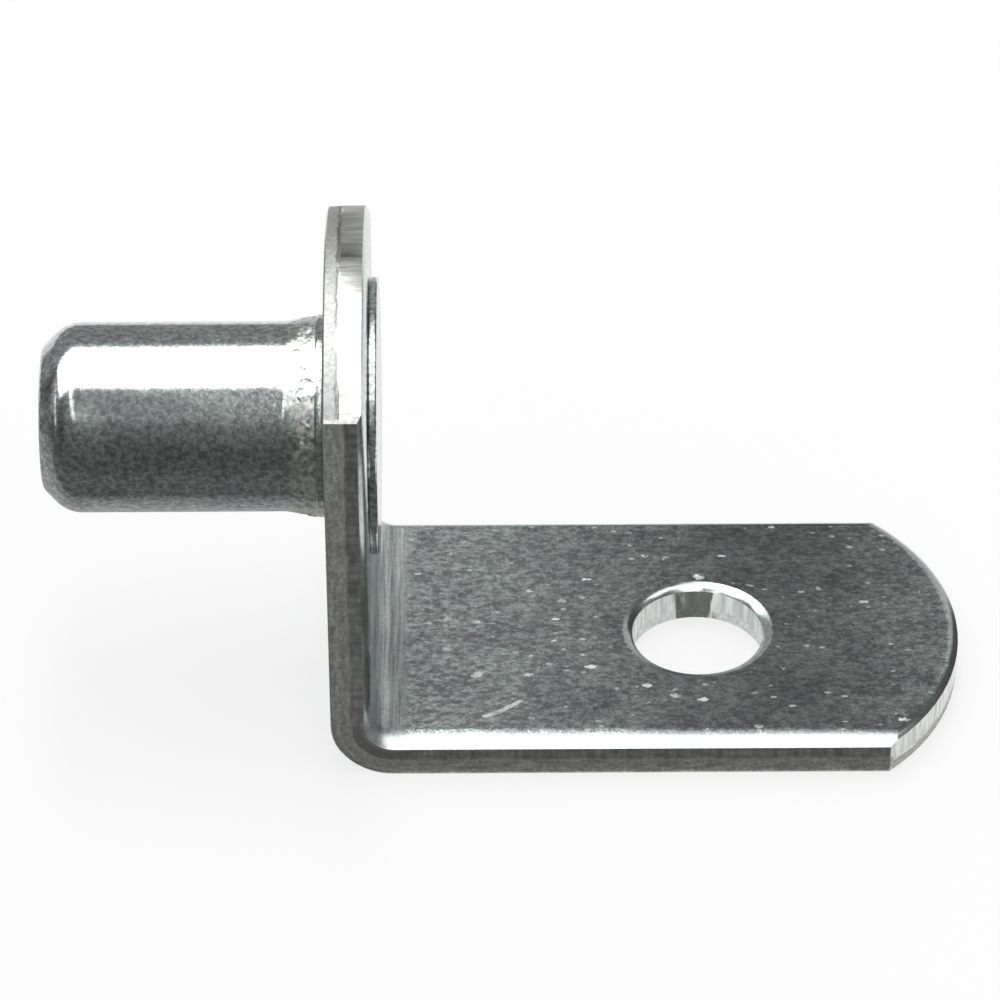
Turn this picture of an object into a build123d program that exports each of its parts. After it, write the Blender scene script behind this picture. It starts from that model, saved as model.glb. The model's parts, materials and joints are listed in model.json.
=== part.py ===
from build123d import *
import os

# Shelf support: a punched strip folded into an L, with a headed pin riveted through its upright.
# The origin is where the pin's axis meets the outer face of the upright, which bears on the panel.
# +X runs along the leg under the shelf, the pin points along -X into the panel, and +Z is up.
# All lengths are in millimetres.

# Strip and fold
strip_width = 12.0
strip_thickness = 1.4
bend_inner_radius = 0.7
leg_length = 21.4
upright_height = 17.28
leg_end_radius = 8.2
upright_end_radius = 8.7

# Outline of the blank: the die rolls the inner edge over, the punch shears the wall plumb down to
# the shear depth, and below that the wall tears back towards an outer edge that is barely broken
edge_roll_width = 0.35
edge_roll_depth = 0.14
edge_roll_radius = 0.585
shear_depth = 0.85
tear_setback = 0.03
outer_bevel = 0.05

# The long edge on the -Y side, where the blank is parted from the coil, is rolled over much further
parted_roll_width = 0.75
parted_roll_depth = 0.28
parted_roll_radius = 1.33

# Screw hole in the leg, placed from the outer face of the upright, with a tighter roll
screw_hole_diameter = 4.5
screw_hole_reach = 12.47
hole_roll_width = 0.34
hole_roll_depth = 0.18
hole_roll_radius = 0.45

# Pin: a quarter-inch body, three eighths long, that goes into the panel's hole
pin_diameter = 6.35
pin_reach = 9.5
pin_axis_height = 10.65
tip_bevel = 0.8
tip_bevel_blend_radius = 1.2
tip_edge_radius = 0.3

# Flared collar where the shank was swaged against the outer face
collar_diameter = 6.75
collar_length = 1.4
collar_band_length = 0.35

# Thin flat head on the inner face
head_diameter = 9.25
head_thickness = 0.3
head_edge_radius = 0.07

# The swaged shank fills its hole to within this gap all round
rivet_clearance = 0.01

# How far cutting shapes run past what they cut
overrun = 1.0

# Levels that follow from the sizes above
underside = -pin_axis_height
seat = underside + strip_thickness
upright_top = underside + upright_height
bend_outer_radius = bend_inner_radius + strip_thickness
bend_axis_height = underside + bend_outer_radius


def punched_edge(roll_width, roll_depth, roll_radius):
    """A punched edge in section: the sheet lies to its left, with its inner face on the X axis."""
    roll = RadiusArc((-roll_width, 0), (0, -roll_depth), roll_radius)
    wall = Polyline(
        (0, -roll_depth),
        (0, -shear_depth),
        (-tear_setback, outer_bevel - strip_thickness),
        (-tear_setback - outer_bevel, -strip_thickness),
    )
    return roll + wall


def strip_section():
    """The strip in section, across its width: the inner face on the X axis, the parted edge at -X."""
    half_width = strip_width / 2
    crisp = Pos(half_width, 0) * punched_edge(edge_roll_width, edge_roll_depth, edge_roll_radius)
    parted = Pos(half_width, 0) * punched_edge(parted_roll_width, parted_roll_depth, parted_roll_radius)
    outer_reach = half_width - tear_setback - outer_bevel
    inner = Line((parted_roll_width - half_width, 0), (half_width - edge_roll_width, 0))
    outer = Line((-outer_reach, -strip_thickness), (outer_reach, -strip_thickness))
    return make_face((crisp + mirror(parted, about=Plane.YZ) + inner + outer).edges())


def folded_strip():
    """The strip's section run along the leg, round the fold and up the upright."""
    section = strip_section()
    leg_start = Plane((bend_outer_radius, 0, seat), x_dir=(0, 1, 0), z_dir=(1, 0, 0))
    upright_start = Plane((strip_thickness, 0, upright_top), x_dir=(0, 1, 0), z_dir=(0, 0, -1))
    leg = extrude(leg_start * section, amount=leg_length - bend_outer_radius)
    fold_axis = Axis((bend_outer_radius, 0, bend_axis_height), (0, 1, 0))
    fold = revolve(leg_start * section, axis=fold_axis, revolution_arc=90)
    upright = extrude(upright_start * section, amount=upright_top - bend_axis_height)
    return leg + fold + upright


def end_scrap(end_radius):
    """What the die takes off a strip end that points along +X: the arc's crest is at the origin."""
    edge = Pos(end_radius, 0) * punched_edge(edge_roll_width, edge_roll_depth, edge_roll_radius)
    far = end_radius + strip_width
    outside = Polyline(
        (end_radius - tear_setback - outer_bevel, -strip_thickness),
        (end_radius - tear_setback - outer_bevel, -strip_thickness - overrun),
        (far, -strip_thickness - overrun),
        (far, overrun),
        (end_radius - edge_roll_width, overrun),
        (end_radius - edge_roll_width, 0),
    )
    profile = make_face((edge + outside).edges())
    half_ring = revolve(Plane.XZ * profile, axis=Axis.Z, revolution_arc=180)
    return Pos(-end_radius, 0, 0) * Rot(0, 0, -90) * half_ring


def screw_hole_slug():
    """What the punch takes out of the leg, standing on Z with the seat at zero."""
    radius = screw_hole_diameter / 2
    edge = mirror(punched_edge(hole_roll_width, hole_roll_depth, hole_roll_radius), about=Plane.YZ)
    edge = Pos(radius, 0) * edge
    inside = Polyline(
        (radius + tear_setback + outer_bevel, -strip_thickness),
        (radius + tear_setback + outer_bevel, -strip_thickness - overrun),
        (0, -strip_thickness - overrun),
        (0, overrun),
        (radius + hole_roll_width, overrun),
        (radius + hole_roll_width, 0),
    )
    return revolve(Plane.XZ * make_face((edge + inside).edges()), axis=Axis.Z)


def make_bracket():
    """The bracket: folded, its ends cut to arcs, pierced for the screw and for the pin."""
    leg_end = Plane((leg_length, 0, seat), x_dir=(1, 0, 0), z_dir=(0, 0, 1))
    upright_end = Plane((strip_thickness, 0, upright_top), x_dir=(0, 0, 1), z_dir=(1, 0, 0))
    bracket = folded_strip()
    bracket -= leg_end * end_scrap(leg_end_radius)
    bracket -= upright_end * end_scrap(upright_end_radius)
    bracket -= Pos(screw_hole_reach, 0, seat) * screw_hole_slug()
    pin_hole = Cylinder(pin_diameter / 2 + rivet_clearance, strip_thickness + 2 * overrun)
    return bracket - Pos(strip_thickness / 2, 0, 0) * Rot(0, 90, 0) * pin_hole


def make_headed_pin():
    """The pin: one turned and headed profile, spun round the X axis."""
    body_radius = pin_diameter / 2
    head_outer_face = strip_thickness + head_thickness
    profile = make_face(
        Polyline(
            (-pin_reach, 0),
            (-pin_reach, body_radius - tip_bevel),
            (tip_bevel - pin_reach, body_radius),
            (-collar_length, body_radius),
            (-collar_band_length, collar_diameter / 2),
            (0, collar_diameter / 2),
            (0, body_radius),
            (strip_thickness, body_radius),
            (strip_thickness, head_diameter / 2),
            (head_outer_face, head_diameter / 2),
            (head_outer_face, 0),
            close=True,
        )
    )

    def corner(x, y):
        return profile.vertices().sort_by_distance((x, y))[0]

    profile = fillet(corner(tip_bevel - pin_reach, body_radius), radius=tip_bevel_blend_radius)
    profile = fillet(corner(-pin_reach, body_radius - tip_bevel), radius=tip_edge_radius)
    profile = fillet(corner(head_outer_face, head_diameter / 2), radius=head_edge_radius)
    profile = fillet(corner(strip_thickness, head_diameter / 2), radius=head_edge_radius)
    return revolve(profile, axis=Axis.X)


os.makedirs("parts", exist_ok=True)
export_step(make_bracket(), "parts/bracket.step")
export_step(make_headed_pin(), "parts/headed_pin.step")
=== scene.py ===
import json
import math

import bmesh
import bpy
from mathutils import Matrix, Vector, noise


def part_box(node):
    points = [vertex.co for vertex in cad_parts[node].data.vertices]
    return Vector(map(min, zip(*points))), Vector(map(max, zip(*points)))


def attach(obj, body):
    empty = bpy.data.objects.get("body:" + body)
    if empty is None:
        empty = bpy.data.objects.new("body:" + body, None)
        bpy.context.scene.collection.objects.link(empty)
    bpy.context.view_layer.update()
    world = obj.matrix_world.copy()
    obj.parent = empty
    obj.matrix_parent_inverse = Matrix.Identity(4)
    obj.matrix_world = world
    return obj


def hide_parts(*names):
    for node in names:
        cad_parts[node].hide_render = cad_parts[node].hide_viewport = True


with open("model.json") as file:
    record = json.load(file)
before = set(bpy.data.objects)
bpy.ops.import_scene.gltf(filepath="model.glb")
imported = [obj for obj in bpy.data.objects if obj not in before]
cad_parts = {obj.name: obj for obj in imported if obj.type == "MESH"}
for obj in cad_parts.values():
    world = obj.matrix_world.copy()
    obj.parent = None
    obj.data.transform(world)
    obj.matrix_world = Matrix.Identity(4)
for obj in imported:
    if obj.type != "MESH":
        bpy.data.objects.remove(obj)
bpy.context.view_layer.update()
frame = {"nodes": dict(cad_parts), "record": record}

# Zinc-plated steel shelf support: a punched strip folded into an L, with a headed pin riveted through it.
# Object lengths are written in millimetres and turned into metres where a mesh is made.
MM = 0.001

mounts = {mount["name"]: mount for mount in frame["record"]["mounts"]}
bracket_low, bracket_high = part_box("bracket")
pin_low, pin_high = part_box("headed_pin")

# Strip and fold
floor_level = bracket_low.z / MM
seat_level = mounts["shelf_seat"]["pos_m"][2] / MM
strip_thickness = seat_level - floor_level
half_width = bracket_high.y / MM
leg_tip = bracket_high.x / MM
bend_inner_radius = 0.7
bend_centre_x = strip_thickness + bend_inner_radius
bend_centre_z = seat_level + bend_inner_radius
hole_x = mounts["screw_hole"]["pos_m"][0] / MM
hole_radius = mounts["screw_hole"]["dims"]["r_mm"]

# Punched walls: plumb and smooth down to the shear depth, torn and grainy below it
side_shear_depth = 0.68
end_shear_depth = 0.88
shear_wander = 0.24
shear_line_width = 0.07
shear_line_core = 0.02
lay_stretch = 0.25

# Where the finish of one part of the strip passes into the next
bend_fade = 0.7
long_side_start = half_width - 0.12
long_side_end = half_width - 0.08
hole_zone_start = hole_radius + 0.15
hole_zone_end = hole_radius + 0.4

# Pin and head
pin_end = pin_low.x / MM
pin_radius = mounts["shelf_pin"]["dims"]["r_mm"]
tip_bevel = 0.8
tip_bevel_blend_radius = 1.2
tip_edge_radius = 0.3
head_seat = strip_thickness
head_face = pin_high.x / MM
head_radius = pin_high.y / MM
head_edge_radius = 0.07
lathe_segments = 384
arc_step = math.radians(6)
sharp_angle = math.radians(38)

# Swaged collar: a flare, then a bead and a groove where it meets the upright
collar_start = -1.42
collar_start_radius = 0.4
collar_radius = 3.375
bead_start = -0.31
bead_end = -0.13
bead_rise = 0.025
bead_start_radius = 0.03
bead_end_radius = 0.04
bead_groove = 0.06
groove_radius = 0.02

# Crumpled band on the flare: small plates with seams between them, finely chipped, and uneven in patches.
# The seed keeps the plates the same each run.
crumple_seed = 7
crumple_start = -1.3
crumple_end = -0.36
crumple_lead = 0.1
crumple_step = 0.03
crumple_fade_in = 0.5
crumple_fade_out = 0.08
crumple_height = 0.09
plate_size = 0.34
plate_warp = 0.25
plate_warp_size = 0.4
plate_draw_scale = 5.3
plate_share = 0.6
seam_slope = 2.5
seam_share = 0.12
chip_size = 0.3 * plate_size
chip_share = 0.15
patch_size = 1.1
patch_mean = 0.75
patch_swing = 1.4
patch_least = 0.15

# The band's finish starts unevenly, and ends sharply at the bead
band_start_wander = 0.3
band_fade_in = (crumple_start - 0.1, crumple_start + 0.4)
band_fade_out = (crumple_end - 0.05, crumple_end + 0.03)

# Camera, fitted to the outlines in the photograph, with its clip distances in metres
image_pixels = 1000
sensor_width = 36.0
focal_pixels = 5877.0
camera_distance = 198.3
camera_elevation = math.radians(38.08)
camera_roll = math.radians(-0.3)
camera_target = Vector((5.71, 0.0, -3.6))
camera_clip_start = 0.01
camera_clip_end = 20.0

# Colours
zinc_colour = (0.56, 0.59, 0.59, 1.0)
zinc_green = (0.54, 0.6, 0.58, 1.0)
cut_colour = (0.61, 0.62, 0.595, 1.0)
# Torn steel, painted lighter on the long sides and darker on the ends, as painted light and shade
side_torn_painted_light_colour = (0.74, 0.745, 0.71, 1.0)
end_torn_painted_shade_colour = (0.46, 0.465, 0.45, 1.0)
hole_wall_colour = (0.6, 0.64, 0.62, 1.0)
# Painted reflection: the dark colour of the streak painted down the hole's wall
hole_painted_reflection_colour = (0.15, 0.155, 0.145, 1.0)
# Bright nicks, and also the painted highlight of the shear line
fleck_and_line_highlight_colour = (0.9, 0.92, 0.91, 1.0)
# Painted shade: the dark colour of the shear line on the upright's end
painted_groove_shade_colour = (0.16, 0.16, 0.155, 1.0)
crumple_colour = (0.84, 0.84, 0.77, 1.0)
floor_colour = (0.98, 0.98, 0.98, 1.0)
floor_white_share = 0.7
floor_rough = 0.9

# Most of a noise's values lie between these
noise_low = 0.3
noise_high = 0.7

# Roughness of the strip's zones
bend_rough = 0.36
end_sheared_rough = 0.12
side_sheared_rough = 0.2
end_torn_rough = 0.5
side_torn_rough = 0.6
hole_torn_rough = 0.28
fleck_rough = 0.62

# Relief: how high each surface's marks stand, and the shares that they are mixed in
bracket_relief_height = 0.006
pin_relief_height = 0.0035
grain_relief = 0.3
rolled_relief = 0.25
sheared_relief = 0.6
torn_relief = 2.4
ring_relief = 1.2

# How much lighter the rolled edges and the bend are painted than the flat faces, as painted light, and how
# strongly marks show, among them the shear line's painted highlight and shade
rolled_painted_highlight = 1.15
bend_painted_light = 1.2
end_line_strength = 0.8
side_line_strength = 0.35
nick_strength = 0.9

# Flecks: nicks in a few of the cells of a loose grid, whose cells are longer along the strip
bright_fleck_scale = 1.9
faint_fleck_scale = 3.1
faint_fleck_strength = 0.45
fleck_stretch = 0.55
fleck_wobble = 0.34
fleck_wobble_scale = 4.7

# Scratches on the leg's top, each from one point to another in X and Y
scratches = [
    ((5.15, -4.6), (5.75, -4.35)),
    ((5.6, -4.4), (6.4, -3.8)),
]
scratch_half_width = 0.11

# A dark painted reflection down the middle of the hole's wall, on its +Y side
hole_painted_reflection_half_width = 0.58
hole_painted_reflection_fade = 0.1
hole_painted_reflection_wander = 0.15

# Studio: a softbox overhead, a dim room, and cards that only reflections see. An outline gives two of a
# card's three directions. Levels are (place, brightness) stops along one of them.
floor_half = 3000.0
ambient_level = 0.76
softbox_height = 350.0
softbox_back = 294.0
softbox_front = -107.0
softbox_left = -40.0
softbox_right = 40.0
softbox_radiance = 4.0
softbox_outline = [
    (-560, softbox_back), (-8, softbox_back), (-8, -300), (-4, -300), (-4, -720), (-14, -720),
    (-14, softbox_front), (-560, softbox_front),
]
softbox_levels = [(-720, 1.4), (-330, softbox_radiance), (softbox_back, softbox_radiance)]
top_card_outline = [(-8, 110), (330, 110), (330, -60), (150, -60), (150, -300), (-8, -300)]
top_card_level = 1.8
collar_card_left = -200.0
collar_card_right = -95.0
collar_card_front = -520.0
collar_card_levels = [(collar_card_left, 0.35), (-155, 2.0), (-130, 2.0), (collar_card_right, 0.5)]

# The room is as bright as the angle from straight up, in degrees, with the back below zero. To the left
# and right it fades to a share of that, over distances given as shares of its radius.
room_radius = 900.0
room_segments = 48
room_rings = 24
room_left_share = 0.5
room_left_fade = (-0.8, -0.45)
room_right_share = 0.4
room_right_fade = (0.3, 0.7)
room_levels = [
    (-180, 0.4), (-100, 0.4), (-90, 0.36), (-78, 0.27), (-58, 0.28), (-52, 0.3), (-46, 0.5),
    (-42, 0.75), (-38, 0.9), (-30, 0.8), (14, 0.5), (22, 0.36), (31, 0.3), (45, 0.27), (62, 0.24),
    (80, 0.16), (95, 0.12), (180, 0.12),
]

# Cards that stand behind the object, or to the left of its tip
back_card_distance = 100.0
back_card_outline = [
    (-200, -11), (200, -11), (200, 90), (30, 90), (30, 165), (-4, 165), (-4, 100), (-200, 100),
]
back_card_levels = [
    (-60, 0.32), (-6, 0.32), (-2.5, 0.27), (-0.5, 0.57), (1.3, 0.46), (4.6, 0.31), (7.9, 0.34),
    (11.2, 0.25), (16.7, 0.13), (22, 0.08), (25, 0.08), (28.3, 0.2), (30, 0.27), (40, 0.44), (60, 0.55),
    (78, 0.55), (86, 0.08), (200, 0.08),
]
high_card_outline = [(30, 90), (400, 90), (400, 300), (30, 300)]
high_card_level = 0.1
arc_card_distance = 20.0
arc_card_outline = [(-0.35, 11.6), (0.85, 11.6), (0.32, 46), (-0.95, 46)]
arc_card_levels = [
    (11.6, 0.5), (15, 0.38), (20, 0.18), (21.5, 0.12), (23, 0.12), (24.5, 0.75), (28, 0.6), (31, 0.8),
    (33, 0.75), (35, 1.05), (46, 1.1),
]
tip_card_distance = -600.0
tip_card_outline = [(65, 302), (-221, 59), (-171, 30), (92, 251)]
tip_card_level = 1.3

# Cards that lie just above the floor, beside the bracket
floor_card_lift = 0.02
floor_card_gap = 0.02
floor_card_reach = 850.0
front_card_right = leg_tip + 2.0
front_card_levels = [(-60, 0.12), (-22, 0.12), (-14, 0.15), (-8, 0.15), (-6, 0.12)]
under_card_left = -60.0
under_card_right = -0.1
under_card_back = 20.0
under_card_levels = [(-6, 0.15), (-4.5, 0.27), (0, 0.42), (under_card_back, 0.45)]
left_card_back = 60.0
left_card_levels = [(-6, 0.16), (0, 0.2), (left_card_back, 0.24)]
behind_card_left = -2.0
behind_card_right = 1.1
behind_card_back = 100.0
behind_card_level = 0.5


class Graph:
    """A material's node tree, with one short call for each kind of node used here."""

    def __init__(self, name):
        self.material = bpy.data.materials.new(name)
        self.material.use_nodes = True
        self.tree = self.material.node_tree
        self.shader = self.tree.nodes["Principled BSDF"]

    def node(self, kind, **settings):
        made = self.tree.nodes.new(kind)
        for key, value in settings.items():
            setattr(made, key, value)
        return made

    def feed(self, socket, value):
        """Links a socket to another node's output, or sets it to a plain value."""
        if isinstance(value, bpy.types.NodeSocket):
            self.tree.links.new(value, socket)
        else:
            socket.default_value = value

    def math(self, operation, first, second=0.0, clamp=False):
        made = self.node("ShaderNodeMath", operation=operation, use_clamp=clamp)
        self.feed(made.inputs[0], first)
        self.feed(made.inputs[1], second)
        return made.outputs[0]

    def product(self, *values):
        result = values[0]
        for value in values[1:]:
            result = self.math("MULTIPLY", result, value)
        return result

    def total(self, *values):
        result = values[0]
        for value in values[1:]:
            result = self.math("ADD", result, value)
        return result

    def difference(self, first, second):
        return self.math("SUBTRACT", first, second)

    def size(self, value):
        """A value without its sign."""
        return self.math("ABSOLUTE", value)

    def vector(self, operation, first, second=(0.0, 0.0, 0.0)):
        made = self.node("ShaderNodeVectorMath", operation=operation)
        self.feed(made.inputs[0], first)
        self.feed(made.inputs[1], second)
        scalar = operation in ("LENGTH", "DOT_PRODUCT", "DISTANCE")
        return made.outputs["Value" if scalar else "Vector"]

    def scaled(self, vector, factor):
        made = self.node("ShaderNodeVectorMath", operation="SCALE")
        self.feed(made.inputs[0], vector)
        self.feed(made.inputs["Scale"], factor)
        return made.outputs["Vector"]

    def parts(self, vector):
        made = self.node("ShaderNodeSeparateXYZ")
        self.feed(made.inputs[0], vector)
        return made.outputs

    def joined(self, x, y, z):
        made = self.node("ShaderNodeCombineXYZ")
        for socket, value in zip(made.inputs, (x, y, z)):
            self.feed(socket, value)
        return made.outputs[0]

    def ramp(self, value, low, high, start=0.0, end=1.0):
        """A smooth step from start to end as value goes from low to high."""
        made = self.node("ShaderNodeMapRange", interpolation_type="SMOOTHSTEP")
        for socket, given in zip(made.inputs, (value, low, high, start, end)):
            self.feed(socket, given)
        return made.outputs[0]

    def spread(self, value, start, end):
        """A level from start to end, over the range that a noise mostly keeps to."""
        return self.ramp(value, noise_low, noise_high, start, end)

    def curve(self, value, stops):
        """A level read off a line of (place, level) stops, with levels that may pass 1."""
        first = stops[0][0]
        length = stops[-1][0] - first
        peak = max(level for _, level in stops)
        made = self.node("ShaderNodeValToRGB")
        elements = made.color_ramp.elements
        for place, _ in stops[1:-1]:
            elements.new((place - first) / length)
        for element, (_, level) in zip(elements, stops):
            element.color = (level / peak, level / peak, level / peak, 1.0)
        self.feed(made.inputs[0], self.math("DIVIDE", self.difference(value, first), length))
        return self.product(made.outputs[0], peak)

    def noise(self, place, scale, detail, roughness=0.55):
        made = self.node("ShaderNodeTexNoise")
        self.feed(made.inputs["Vector"], place)
        self.feed(made.inputs["Scale"], scale)
        self.feed(made.inputs["Detail"], detail)
        self.feed(made.inputs["Roughness"], roughness)
        return made.outputs["Fac"]

    def stretched_noise(self, place, scales, detail, roughness=0.55):
        """Noise with a scale of its own along each axis."""
        return self.noise(self.vector("MULTIPLY", place, scales), 1.0, detail, roughness)

    def cells(self, place, scale):
        """How far a point is from the middle of its cell, and a number of the cell's own."""
        made = self.node("ShaderNodeTexVoronoi")
        self.feed(made.inputs["Vector"], place)
        self.feed(made.inputs["Scale"], scale)
        return made.outputs["Distance"], self.parts(made.outputs["Color"])[0]

    def mix(self, share, first, second):
        made = self.node("ShaderNodeMix", data_type="FLOAT")
        for socket, value in zip((made.inputs[0], made.inputs[2], made.inputs[3]), (share, first, second)):
            self.feed(socket, value)
        return made.outputs[0]

    def blend(self, share, first, second, kind="MIX"):
        made = self.node("ShaderNodeMix", data_type="RGBA", blend_type=kind)
        for socket, value in zip((made.inputs[0], made.inputs[6], made.inputs[7]), (share, first, second)):
            self.feed(socket, value)
        return made.outputs[2]

    def shaded(self, colour, *levels):
        """A colour made lighter or darker by one or more levels."""
        level = self.product(*levels)
        return self.blend(1.0, colour, self.joined(level, level, level), "MULTIPLY")

    def bump(self, height, distance):
        """Relief: height is 0 to 1, and distance is how far 1 stands out, in millimetres."""
        made = self.node("ShaderNodeBump")
        self.feed(made.inputs["Height"], height)
        self.feed(made.inputs["Distance"], distance * MM)
        return made.outputs[0]

    def place(self):
        """Where a point is on the object, in millimetres."""
        return self.scaled(self.node("ShaderNodeTexCoord").outputs["Object"], 1.0 / MM)

    def normal(self):
        return self.node("ShaderNodeNewGeometry").outputs["Normal"]

    def show(self, shader):
        """Makes a shader the one that the material shows."""
        self.feed(self.tree.nodes["Material Output"].inputs["Surface"], shader.outputs[0])
        return self.material

    def metal(self, colour, rough, relief, relief_height):
        """A bare metal surface."""
        self.feed(self.shader.inputs["Base Color"], colour)
        self.feed(self.shader.inputs["Metallic"], 1.0)
        self.feed(self.shader.inputs["Roughness"], rough)
        self.feed(self.shader.inputs["Normal"], self.bump(relief, relief_height))
        return self.material

    def glow(self, level):
        """A surface that only shines, as bright as the level."""
        emission = self.node("ShaderNodeEmission")
        self.feed(emission.inputs["Strength"], level)
        return self.show(emission)


class Strip:
    """The strip's surface in a material: where a point lies on it, and masks for its zones."""

    def __init__(self, graph):
        self.place = graph.place()
        self.x, self.y, z = graph.parts(self.place)
        self.depth, way_out = sheet_depth(graph, self.place)
        self.run = strip_run(graph, self.place)
        facing = graph.size(graph.vector("DOT_PRODUCT", graph.normal(), way_out))
        self.cut = graph.ramp(facing, low=0.72, high=0.3)
        self.flat = graph.ramp(facing, low=0.9, high=0.99)
        self.speckled = graph.ramp(facing, low=0.965, high=0.995)
        self.in_bend = graph.product(
            graph.ramp(self.x, bend_centre_x, bend_centre_x + bend_fade, 1.0, 0.0),
            graph.ramp(z, bend_centre_z, bend_centre_z + bend_fade, 1.0, 0.0),
        )
        self.long_side = graph.ramp(graph.size(self.y), long_side_start, long_side_end)
        from_hole = graph.vector("DISTANCE", graph.joined(self.x, self.y, 0.0), (hole_x, 0.0, 0.0))
        self.in_hole = graph.ramp(from_hole, hole_zone_start, hole_zone_end, 1.0, 0.0)


def sheet_depth(graph, place):
    """How deep a point lies below the strip's inner side, in millimetres, and the way out through it."""
    x, _, z = graph.parts(place)
    over = graph.math("MAXIMUM", graph.difference(bend_centre_x, x), 0.0)
    under = graph.math("MAXIMUM", graph.difference(bend_centre_z, z), 0.0)
    from_axis = graph.joined(over, 0.0, under)
    depth = graph.difference(graph.vector("LENGTH", from_axis), bend_inner_radius)
    return depth, graph.vector("NORMALIZE", from_axis)


def strip_run(graph, place):
    """How far a point lies along the strip from the fold: above zero on the leg, below on the upright."""
    x, _, z = graph.parts(place)
    on_leg = graph.math("MAXIMUM", graph.difference(x, bend_centre_x), 0.0)
    on_upright = graph.math("MAXIMUM", graph.difference(z, bend_centre_z), 0.0)
    return graph.difference(on_leg, on_upright)


def fleck_layer(graph, strip, scale):
    """Nicks of mixed size with uneven rims."""
    cell_place = graph.joined(graph.product(strip.run, fleck_stretch), strip.y, 0.0)
    distance, chance = graph.cells(cell_place, scale)
    unevenness = graph.noise(strip.place, fleck_wobble_scale * scale, detail=2.0)
    reach = graph.total(distance, graph.product(unevenness, fleck_wobble))
    size = graph.ramp(chance, low=0.25, high=1.0, start=0.1, end=0.36)
    return graph.ramp(graph.difference(size, reach), low=-0.05, high=0.03)


def flecks(graph, strip):
    """Bright nicks scattered among smaller and fainter ones."""
    patches = graph.noise(strip.place, scale=1.1, detail=2.0)
    strength = graph.ramp(patches, low=0.35, high=0.62, start=0.35, end=1.0)
    bright = graph.product(fleck_layer(graph, strip, bright_fleck_scale), strength)
    faint = graph.product(fleck_layer(graph, strip, faint_fleck_scale), faint_fleck_strength)
    return graph.math("MAXIMUM", bright, faint)


def scratch_mask(graph, strip):
    """One on the scratches in the leg's top, zero elsewhere."""
    point = graph.joined(strip.x, strip.y, 0.0)
    on_top = graph.math("LESS_THAN", strip.depth, strip_thickness / 2)
    mask = 0.0
    for (x0, y0), (x1, y1) in scratches:
        run = Vector((x1 - x0, y1 - y0, 0.0))
        from_start = graph.vector("SUBTRACT", point, (x0, y0, 0.0))
        along = graph.vector("DOT_PRODUCT", from_start, tuple(run / run.length_squared))
        along = graph.math("MULTIPLY", along, 1.0, clamp=True)
        nearest = graph.scaled(graph.joined(run.x, run.y, 0.0), along)
        away = graph.vector("DISTANCE", from_start, nearest)
        line = graph.ramp(away, scratch_half_width / 2, scratch_half_width, 1.0, 0.0)
        mask = graph.math("MAXIMUM", line, mask)
    patches = graph.noise(strip.place, scale=5.0, detail=2.0)
    broken = graph.ramp(patches, low=0.35, high=0.6, start=0.25, end=1.0)
    return graph.product(mask, on_top, broken)


def zinc_tint(graph, clouds):
    """The plating's colour, which drifts a little towards green from cloud to cloud."""
    return graph.blend(graph.ramp(clouds, low=0.35, high=0.65), zinc_colour, zinc_green)


def face_look(graph, strip):
    """Colour, roughness and relief of the strip's faces: mottled and speckled, and streaked in the bend,
    with the rolled edges and the bend painted lighter as painted light.
    """
    clouds = graph.noise(strip.place, scale=0.45, detail=3.0)
    grain = graph.noise(strip.place, scale=9.0, detail=2.0)
    speckle = graph.stretched_noise(strip.place, (3.4, 6.2, 3.4), detail=4.0, roughness=0.75)
    streaks = graph.stretched_noise(strip.place, (11.0, 0.45, 11.0), detail=2.0)
    soft_streaks = graph.ramp(streaks, low=0.2, high=0.8, start=0.44, end=0.61)
    speckle = graph.mix(strip.in_bend, speckle, soft_streaks)

    speckle_shade = graph.ramp(speckle, low=0.36, high=0.64, start=0.5, end=1.44)
    # Painted light: the rolled edges and the bend are given a lighter colour than the flat faces
    colour = graph.shaded(
        zinc_tint(graph, clouds),
        graph.spread(clouds, 0.9, 1.1),
        graph.mix(strip.speckled, rolled_painted_highlight, speckle_shade),
        graph.spread(grain, 0.88, 1.1),
        graph.mix(strip.in_bend, 1.0, bend_painted_light),
    )
    rough = graph.total(graph.spread(clouds, 0.16, 0.19), graph.spread(speckle, 0.04, -0.03))
    rough = graph.mix(strip.in_bend, rough, bend_rough)
    relief = graph.total(speckle, graph.product(grain, grain_relief))
    relief = graph.product(relief, graph.mix(strip.flat, rolled_relief, 1.0))
    return colour, rough, relief


def past_shear_depth(graph, strip):
    """How far a point of a punched wall lies below the uneven depth where shearing turned to tearing."""
    unevenness = graph.noise(strip.place, scale=2.2, detail=5.0, roughness=0.65)
    uneven_depth = graph.total(strip.depth, graph.product(unevenness, shear_wander), -shear_wander / 2)
    return graph.difference(uneven_depth, graph.mix(strip.long_side, end_shear_depth, side_shear_depth))


def add_painted_shear_line(graph, strip, past_shear, colour):
    """The broken line where tearing began, painted in: bright as a painted highlight, and dark as painted
    shade on the upright's end.
    """
    from_line = graph.size(graph.difference(past_shear, shear_line_width))
    line = graph.ramp(from_line, shear_line_core, shear_line_width, 1.0, 0.0)
    broken = graph.ramp(graph.noise(strip.place, scale=1.3, detail=2.0), low=0.3, high=0.55)
    strength = graph.mix(strip.long_side, end_line_strength, side_line_strength)
    strength = graph.mix(strip.in_hole, strength, 0.0)
    on_upright = graph.math("LESS_THAN", strip.run, 0.0)
    # Painted shade: on the upright's end the line is painted dark instead of bright
    painted_shade_share = graph.product(on_upright, graph.difference(1.0, strip.long_side))
    painted_line_colour = graph.blend(painted_shade_share, fleck_and_line_highlight_colour, painted_groove_shade_colour)
    return graph.blend(graph.product(line, strip.cut, broken, strength), colour, painted_line_colour)


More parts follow.
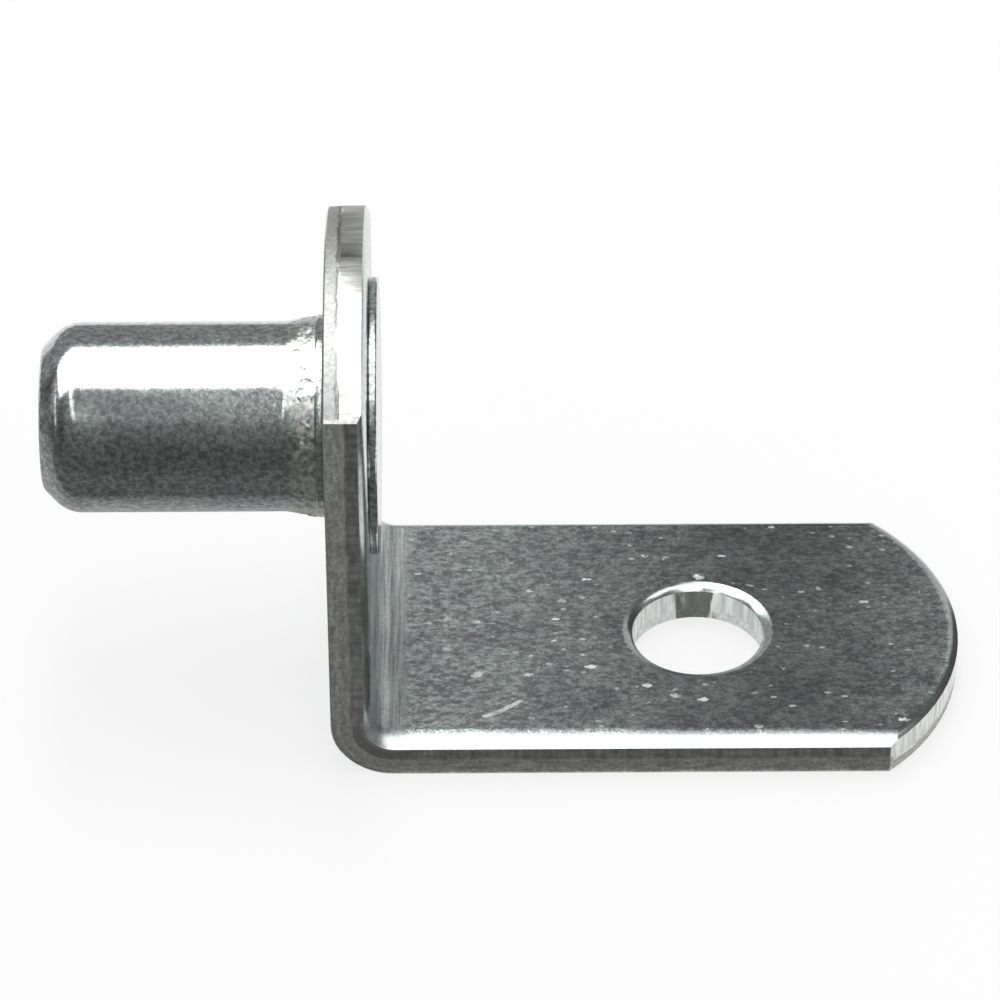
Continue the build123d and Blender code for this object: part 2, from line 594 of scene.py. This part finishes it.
def hole_tint_with_painted_reflection(graph, strip, streaks):
    """The colour of the hole's wall, with a dark painted reflection down its +Y side."""
    from_middle = graph.size(graph.difference(strip.x, hole_x))
    rim = graph.total(from_middle, graph.spread(streaks, -hole_painted_reflection_wander, hole_painted_reflection_wander))
    rim_start = hole_painted_reflection_half_width - hole_painted_reflection_fade
    rim_end = hole_painted_reflection_half_width + hole_painted_reflection_fade
    on_far_side = graph.math("GREATER_THAN", strip.y, 0.0)
    # Painted reflection: a wavering streak down the middle of the +Y wall is painted dark
    painted_reflection = graph.product(graph.ramp(rim, rim_start, rim_end, 1.0, 0.0), on_far_side)
    return graph.blend(painted_reflection, hole_wall_colour, hole_painted_reflection_colour)


def wall_look(graph, strip):
    """Colour, roughness and relief of the punched walls: streaked where sheared, grainy where torn, with
    painted light and shade in the torn zone, the shear line and the hole's wall.
    """
    past_shear = past_shear_depth(graph, strip)
    torn = graph.product(graph.ramp(past_shear, low=-0.04, high=0.12), strip.cut)
    wall_place = graph.joined(strip.run, strip.y, strip.depth)
    streaks = graph.stretched_noise(wall_place, (5.0, 5.0, 0.6), detail=2.0)
    tear_grain = graph.noise(strip.place, scale=6.5, detail=4.0, roughness=0.7)
    lay_place = graph.joined(strip.depth, graph.product(strip.run, lay_stretch), 0.0)
    lay = graph.noise(lay_place, scale=5.0, detail=4.0, roughness=0.65)

    # Painted light and shade: the torn zone is painted lighter on the long sides than on the ends
    tint = graph.blend(torn, cut_colour, graph.blend(strip.long_side, end_torn_painted_shade_colour, side_torn_painted_light_colour))
    tint = graph.blend(strip.in_hole, tint, hole_tint_with_painted_reflection(graph, strip, streaks))
    lay_shade = graph.ramp(lay, low=0.32, high=0.68, start=0.8, end=1.2)
    colour = graph.shaded(
        tint,
        graph.spread(graph.mix(torn, streaks, tear_grain), 0.78, 1.2),
        graph.mix(strip.long_side, 1.0, lay_shade),
    )
    colour = add_painted_shear_line(graph, strip, past_shear, colour)

    sheared_rough = graph.mix(strip.long_side, end_sheared_rough, side_sheared_rough)
    torn_rough = graph.mix(strip.long_side, end_torn_rough, side_torn_rough)
    torn_rough = graph.mix(strip.in_hole, torn_rough, hole_torn_rough)
    rough = graph.mix(torn, sheared_rough, torn_rough)

    # Both zones keep the same height on average, so no step shows between them
    level_torn = graph.total(graph.product(tear_grain, torn_relief), (sheared_relief - torn_relief) / 2)
    relief = graph.mix(torn, graph.product(streaks, sheared_relief), level_torn)
    return colour, rough, relief


def bracket_finish():
    """Bright zinc on the strip: mottled faces with flecks and a scratch, and duller punched walls."""
    graph = Graph("bracket_zinc")
    strip = Strip(graph)
    face_colour, face_rough, face_relief = face_look(graph, strip)
    wall_colour, wall_rough, wall_relief = wall_look(graph, strip)
    nicks = graph.math("MAXIMUM", flecks(graph, strip), scratch_mask(graph, strip))
    nicks = graph.product(nicks, strip.flat, graph.difference(1.0, strip.in_bend), nick_strength)
    colour = graph.blend(nicks, graph.blend(strip.cut, face_colour, wall_colour), fleck_and_line_highlight_colour)
    rough = graph.mix(nicks, graph.mix(strip.cut, face_rough, wall_rough), fleck_rough)
    relief = graph.mix(strip.cut, face_relief, wall_relief)
    return graph.metal(colour, rough, relief, bracket_relief_height)


def crumple_masks(graph, place):
    """One in the collar's crumpled band, which starts unevenly, and the noise that breaks the band up."""
    x, _, _ = graph.parts(place)
    wander = graph.noise(place, scale=1.7, detail=2.0)
    wandered = graph.total(x, graph.spread(wander, -band_start_wander, band_start_wander))
    in_band = graph.product(
        graph.ramp(wandered, *band_fade_in),
        graph.ramp(x, *band_fade_out, start=1.0, end=0.0),
    )
    return in_band, graph.noise(place, scale=4.2, detail=3.0, roughness=0.7)


def pin_finish():
    """Bright zinc on the headed pin: mottled, with turning lines on its head and a rough swaged collar."""
    graph = Graph("pin_zinc")
    place = graph.place()
    x, y, z = graph.parts(place)
    clouds = graph.noise(place, scale=0.5, detail=3.0)
    grain = graph.noise(place, scale=9.0, detail=2.0)
    speckle = graph.stretched_noise(place, (4.6, 5.4, 5.4), detail=4.0, roughness=0.75)
    radius = graph.vector("LENGTH", graph.joined(0.0, y, z))
    rings = graph.noise(graph.joined(x, radius, 0.0), scale=7.0, detail=2.0)
    on_head = graph.math("GREATER_THAN", x, head_face - head_edge_radius / 2)
    in_band, bits = crumple_masks(graph, place)

    colour = graph.shaded(
        zinc_tint(graph, clouds),
        graph.spread(clouds, 0.92, 1.08),
        graph.ramp(speckle, low=0.34, high=0.66, start=0.56, end=1.36),
        graph.spread(grain, 0.88, 1.1),
    )
    crumpled = graph.product(in_band, graph.ramp(bits, low=0.42, high=0.6))
    colour = graph.blend(crumpled, colour, crumple_colour)
    rough = graph.total(graph.spread(clouds, 0.12, 0.15), graph.spread(speckle, 0.03, -0.02))
    rough = graph.mix(in_band, rough, graph.ramp(bits, low=0.4, high=0.62, start=0.26, end=0.44))
    turned = graph.product(on_head, rings, ring_relief)
    relief = graph.total(speckle, graph.product(grain, grain_relief), turned)
    return graph.metal(colour, rough, relief, pin_relief_height)


def seen_directly(tree):
    """One for rays from the camera and those that metal or glass sends on, zero for the rest."""
    path = tree.nodes.new("ShaderNodeLightPath")
    seen = path.outputs["Is Camera Ray"]
    for ray in ("Is Glossy Ray", "Is Transmission Ray"):
        either = tree.nodes.new("ShaderNodeMath")
        either.operation = "MAXIMUM"
        tree.links.new(seen, either.inputs[0])
        tree.links.new(path.outputs[ray], either.inputs[1])
        seen = either.outputs[0]
    return seen


def floor_finish():
    """A plain pale floor, very slightly uneven in tone, that looks partly white of itself."""
    graph = Graph("floor_paper")
    tone = graph.spread(graph.noise(graph.place(), scale=0.05, detail=2.0), 0.99, 1.0)
    graph.feed(graph.shader.inputs["Base Color"], graph.shaded(floor_colour, tone))
    graph.feed(graph.shader.inputs["Roughness"], floor_rough)
    graph.feed(graph.shader.inputs["Specular IOR Level"], 0.0)
    white = graph.node("ShaderNodeEmission")
    both = graph.node("ShaderNodeMixShader")
    graph.feed(both.inputs[0], graph.product(seen_directly(graph.tree), floor_white_share))
    graph.feed(both.inputs[1], graph.shader.outputs[0])
    graph.feed(both.inputs[2], white.outputs[0])
    return graph.show(both)


def room_finish():
    """The room's walls, as bright as their angle from straight up, and dimmer to the left and right."""
    graph = Graph("room_wall")
    x, y, z = graph.parts(graph.place())
    angle = graph.math("ARCTAN2", graph.product(y, -1.0), z)
    level = graph.curve(graph.product(angle, math.degrees(1.0)), room_levels)
    left_start, left_end = (share * room_radius for share in room_left_fade)
    right_start, right_end = (share * room_radius for share in room_right_fade)
    dimmer_left = graph.ramp(x, left_start, left_end, room_left_share, 1.0)
    dimmer_right = graph.ramp(x, right_start, right_end, 1.0, room_right_share)
    return graph.glow(graph.product(level, dimmer_left, dimmer_right))


def even_finish(name, level):
    """A card that glows evenly."""
    return Graph(name).glow(level)


def graded_finish(name, axis, levels):
    """A card that glows by how far along one axis a point is."""
    graph = Graph(name)
    return graph.glow(graph.curve(graph.parts(graph.place())["XYZ".index(axis)], levels))


def add_object(name, shape, material):
    """A new mesh object, from a bmesh in millimetres."""
    bmesh.ops.scale(shape, vec=(MM, MM, MM), verts=shape.verts)
    mesh = bpy.data.meshes.new(name)
    shape.to_mesh(mesh)
    shape.free()
    mesh.materials.append(material)
    made = bpy.data.objects.new(name, mesh)
    bpy.context.scene.collection.objects.link(made)
    return made


def rounded(corners):
    """An open outline of (x, r, radius) corners, with each corner's radius worked in as short chords."""
    outline = [Vector(corners[0][:2])]
    for before, corner, after in zip(corners, corners[1:], corners[2:]):
        middle = Vector(corner[:2])
        to_before = (Vector(before[:2]) - middle).normalized()
        to_after = (Vector(after[:2]) - middle).normalized()
        radius = corner[2]
        if radius == 0.0:
            outline.append(middle)
            continue
        half = to_before.angle(to_after) / 2
        centre = middle + (to_before + to_after).normalized() * (radius / math.sin(half))
        start = middle + to_before * (radius / math.tan(half)) - centre
        turn = start.angle_signed(middle + to_after * (radius / math.tan(half)) - centre)
        count = max(2, round(abs(turn) / arc_step))
        for index in range(count + 1):
            outline.append(centre + Matrix.Rotation(-turn * index / count, 2) @ start)
    outline.append(Vector(corners[-1][:2]))
    return outline


def divided(outline, start, end, step):
    """The same outline with points no further apart than step between two places along X."""
    points = [outline[0]]
    for point in outline[1:]:
        last = points[-1]
        inside = start <= (last.x + point.x) / 2 <= end
        count = max(1, math.ceil((point - last).length / step)) if inside else 1
        points.extend(last.lerp(point, index / count) for index in range(1, count + 1))
    return points


def pin_outline():
    """Half of the pin's section: tip, body, flared collar, bead and groove at the wall, shank and head."""
    corners = [
        (pin_end, 0.0, 0.0),
        (pin_end, pin_radius - tip_bevel, tip_edge_radius),
        (pin_end + tip_bevel, pin_radius, tip_bevel_blend_radius),
        (collar_start, pin_radius, collar_start_radius),
        (crumple_end, collar_radius - bead_rise, bead_start_radius),
        (bead_start, collar_radius, bead_start_radius),
        (bead_end, collar_radius, bead_end_radius),
        (bead_end / 2, collar_radius - bead_groove, groove_radius),
        (0.0, collar_radius - bead_groove, 0.0),
        (0.0, pin_radius, 0.0),
        (head_seat, pin_radius, 0.0),
        (head_seat, head_radius, head_edge_radius),
        (head_face, head_radius, head_edge_radius),
        (head_face, 0.0, 0.0),
    ]
    return divided(rounded(corners), crumple_start - crumple_lead, crumple_end, crumple_step)


def limited(value, low):
    """A value kept between a low limit and 1."""
    return min(1.0, max(low, value))


def crumple(point):
    """How far the swaging tools pushed a point of the collar in or out."""
    fade_in = limited((point.x - crumple_start) / crumple_fade_in, 0.0)
    fade_out = limited((crumple_end - point.x) / crumple_fade_out, 0.0)
    patch = limited(patch_mean + patch_swing * noise.noise(point / patch_size), patch_least)
    warp = plate_warp * noise.noise_vector(point / plate_warp_size)
    distances, centres = noise.voronoi(point / plate_size + warp)
    plate = noise.noise(centres[0] * plate_draw_scale)
    seam = min(1.0, seam_slope * (distances[1] - distances[0])) - 1.0
    chips = noise.noise(point / chip_size)
    height = plate_share * plate + seam_share * seam + chip_share * chips
    return fade_in * fade_out * patch * crumple_height * height


def pin_ring(shape, spot):
    """One ring of points round the X axis, from a point of the outline."""
    ring = []
    for index in range(lathe_segments):
        angle = 2 * math.pi * index / lathe_segments
        out = Vector((0.0, math.cos(angle), math.sin(angle)))
        point = Vector((spot.x, 0.0, 0.0)) + spot.y * out
        if crumple_start < spot.x < crumple_end:
            point += out * crumple(point)
        ring.append(shape.verts.new(point))
    return ring


def make_pin(material):
    """The pin spun round the X axis, with the collar's rough band worked into its surface."""
    noise.seed_set(crumple_seed)
    shape = bmesh.new()
    outline = pin_outline()
    rings = [pin_ring(shape, spot) for spot in outline[1:-1]]
    ends = [shape.verts.new((outline[0].x, 0.0, 0.0)), shape.verts.new((outline[-1].x, 0.0, 0.0))]
    for index in range(lathe_segments):
        after = (index + 1) % lathe_segments
        for first, second in zip(rings, rings[1:]):
            shape.faces.new((first[index], second[index], second[after], first[after]))
        shape.faces.new((ends[0], rings[0][index], rings[0][after]))
        shape.faces.new((ends[1], rings[-1][after], rings[-1][index]))
    bmesh.ops.recalc_face_normals(shape, faces=shape.faces)
    pin = add_object("headed_pin_skin", shape, material)
    pin.data.shade_smooth()
    pin.data.set_sharp_from_angle(angle=sharp_angle)
    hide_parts("headed_pin")
    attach(pin, "root")


def show_only_in_reflections(card):
    card.visible_camera = False
    card.visible_diffuse = False
    card.visible_shadow = False
    card.visible_transmission = False
    card.visible_volume_scatter = False


def add_sheet(name, corners, material):
    """A flat sheet through its corners."""
    shape = bmesh.new()
    shape.faces.new([shape.verts.new(corner) for corner in corners])
    sheet = add_object(name, shape, material)
    return sheet


def level_corners(left, right, front, back, height):
    return [(left, front, height), (right, front, height), (right, back, height), (left, back, height)]


def add_floor():
    corners = level_corners(-floor_half, floor_half, -floor_half, floor_half, floor_level)
    add_sheet("floor", corners, floor_finish())


def add_room():
    """Dim walls all round, seen only in reflections."""
    shape = bmesh.new()
    bmesh.ops.create_uvsphere(shape, u_segments=room_segments, v_segments=room_rings, radius=room_radius)
    room = add_object("room", shape, room_finish())
    show_only_in_reflections(room)


def add_even_card(name, corners, level):
    show_only_in_reflections(add_sheet(name, corners, even_finish(name, level)))


def add_graded_card(name, corners, axis, levels):
    show_only_in_reflections(add_sheet(name, corners, graded_finish(name, axis, levels)))


def add_standing_cards():
    """What the metal mirrors behind the object and beyond its tip."""
    back = [(x, back_card_distance, z) for x, z in back_card_outline]
    high = [(x, back_card_distance, z) for x, z in high_card_outline]
    arc = [(x, arc_card_distance, z) for x, z in arc_card_outline]
    tip = [(tip_card_distance, y, z) for y, z in tip_card_outline]
    add_graded_card("back_card", back, "X", back_card_levels)
    add_even_card("high_card", high, high_card_level)
    add_graded_card("arc_card", arc, "Z", arc_card_levels)
    add_even_card("tip_card", tip, tip_card_level)


def add_floor_cards():
    """Darker floor that the metal mirrors, close round the bracket."""
    lift = floor_level + floor_card_lift
    front_edge = -half_width - floor_card_gap
    back_edge = half_width + floor_card_gap
    front = level_corners(-floor_card_reach, front_card_right, -floor_card_reach, front_edge, lift)
    under = level_corners(under_card_left, under_card_right, front_edge, under_card_back, lift)
    left = level_corners(-floor_card_reach, under_card_left, front_edge, left_card_back, lift)
    behind = level_corners(behind_card_left, behind_card_right, back_edge, behind_card_back, lift)
    add_graded_card("front_card", front, "Y", front_card_levels)
    add_graded_card("under_card", under, "Y", under_card_levels)
    add_graded_card("left_card", left, "Y", left_card_levels)
    add_even_card("behind_card", behind, behind_card_level)


def add_overhead_cards():
    """The softbox as the metal mirrors it, with a dimmer card over the leg and another for the collar."""
    softbox = [(x, y, softbox_height) for x, y in softbox_outline]
    top = [(x, y, softbox_height) for x, y in top_card_outline]
    collar = level_corners(
        collar_card_left, collar_card_right, collar_card_front, softbox_front, softbox_height
    )
    add_graded_card("softbox_face", softbox, "Y", softbox_levels)
    add_even_card("top_card", top, top_card_level)
    add_graded_card("collar_card", collar, "X", collar_card_levels)


def add_softbox():
    """The lamp itself, which lights the floor and the object but isn't mirrored."""
    light = bpy.data.lights.new("softbox", "AREA")
    light.shape = "RECTANGLE"
    light.size = (softbox_right - softbox_left) * MM
    light.size_y = (softbox_back - softbox_front) * MM
    light.energy = softbox_radiance * math.pi * light.size * light.size_y
    softbox = bpy.data.objects.new("softbox", light)
    middle = Vector((softbox_left + softbox_right, softbox_front + softbox_back, 2 * softbox_height)) / 2
    softbox.location = middle * MM
    softbox.visible_glossy = False
    bpy.context.scene.collection.objects.link(softbox)


def set_world():
    """Even light from all round, white to the camera and in reflections."""
    world = bpy.data.worlds.new("studio")
    bpy.context.scene.world = world
    world.use_nodes = True
    nodes = world.node_tree.nodes
    links = world.node_tree.links
    level = nodes.new("ShaderNodeMapRange")
    links.new(seen_directly(world.node_tree), level.inputs["Value"])
    level.inputs["To Min"].default_value = ambient_level
    level.inputs["To Max"].default_value = 1.0
    background = nodes["Background"]
    background.inputs["Color"].default_value = (1.0, 1.0, 1.0, 1.0)
    links.new(level.outputs[0], background.inputs["Strength"])


def add_camera():
    data = bpy.data.cameras.new("camera")
    data.sensor_width = sensor_width
    data.lens = focal_pixels / image_pixels * sensor_width
    data.clip_start = camera_clip_start
    data.clip_end = camera_clip_end
    camera = bpy.data.objects.new("camera", data)
    back = Vector((0.0, -math.cos(camera_elevation), math.sin(camera_elevation)))
    right = Vector((1.0, 0.0, 0.0))
    axes = Matrix((right, back.cross(right), back)).transposed().to_4x4()
    turn = Matrix.Rotation(camera_roll, 4, "Z")
    place = (camera_target + camera_distance * back) * MM
    camera.matrix_world = Matrix.Translation(place) @ axes @ turn
    bpy.context.scene.collection.objects.link(camera)
    bpy.context.scene.camera = camera


def dress(node, material):
    mesh = frame["nodes"][node].data
    for index in range(len(mesh.materials)):
        mesh.materials[index] = material


dress("bracket", bracket_finish())
make_pin(pin_finish())

add_floor()
add_room()
add_standing_cards()
add_floor_cards()
add_overhead_cards()
add_softbox()
set_world()
add_camera()

bpy.context.scene.view_settings.view_transform = "Standard"
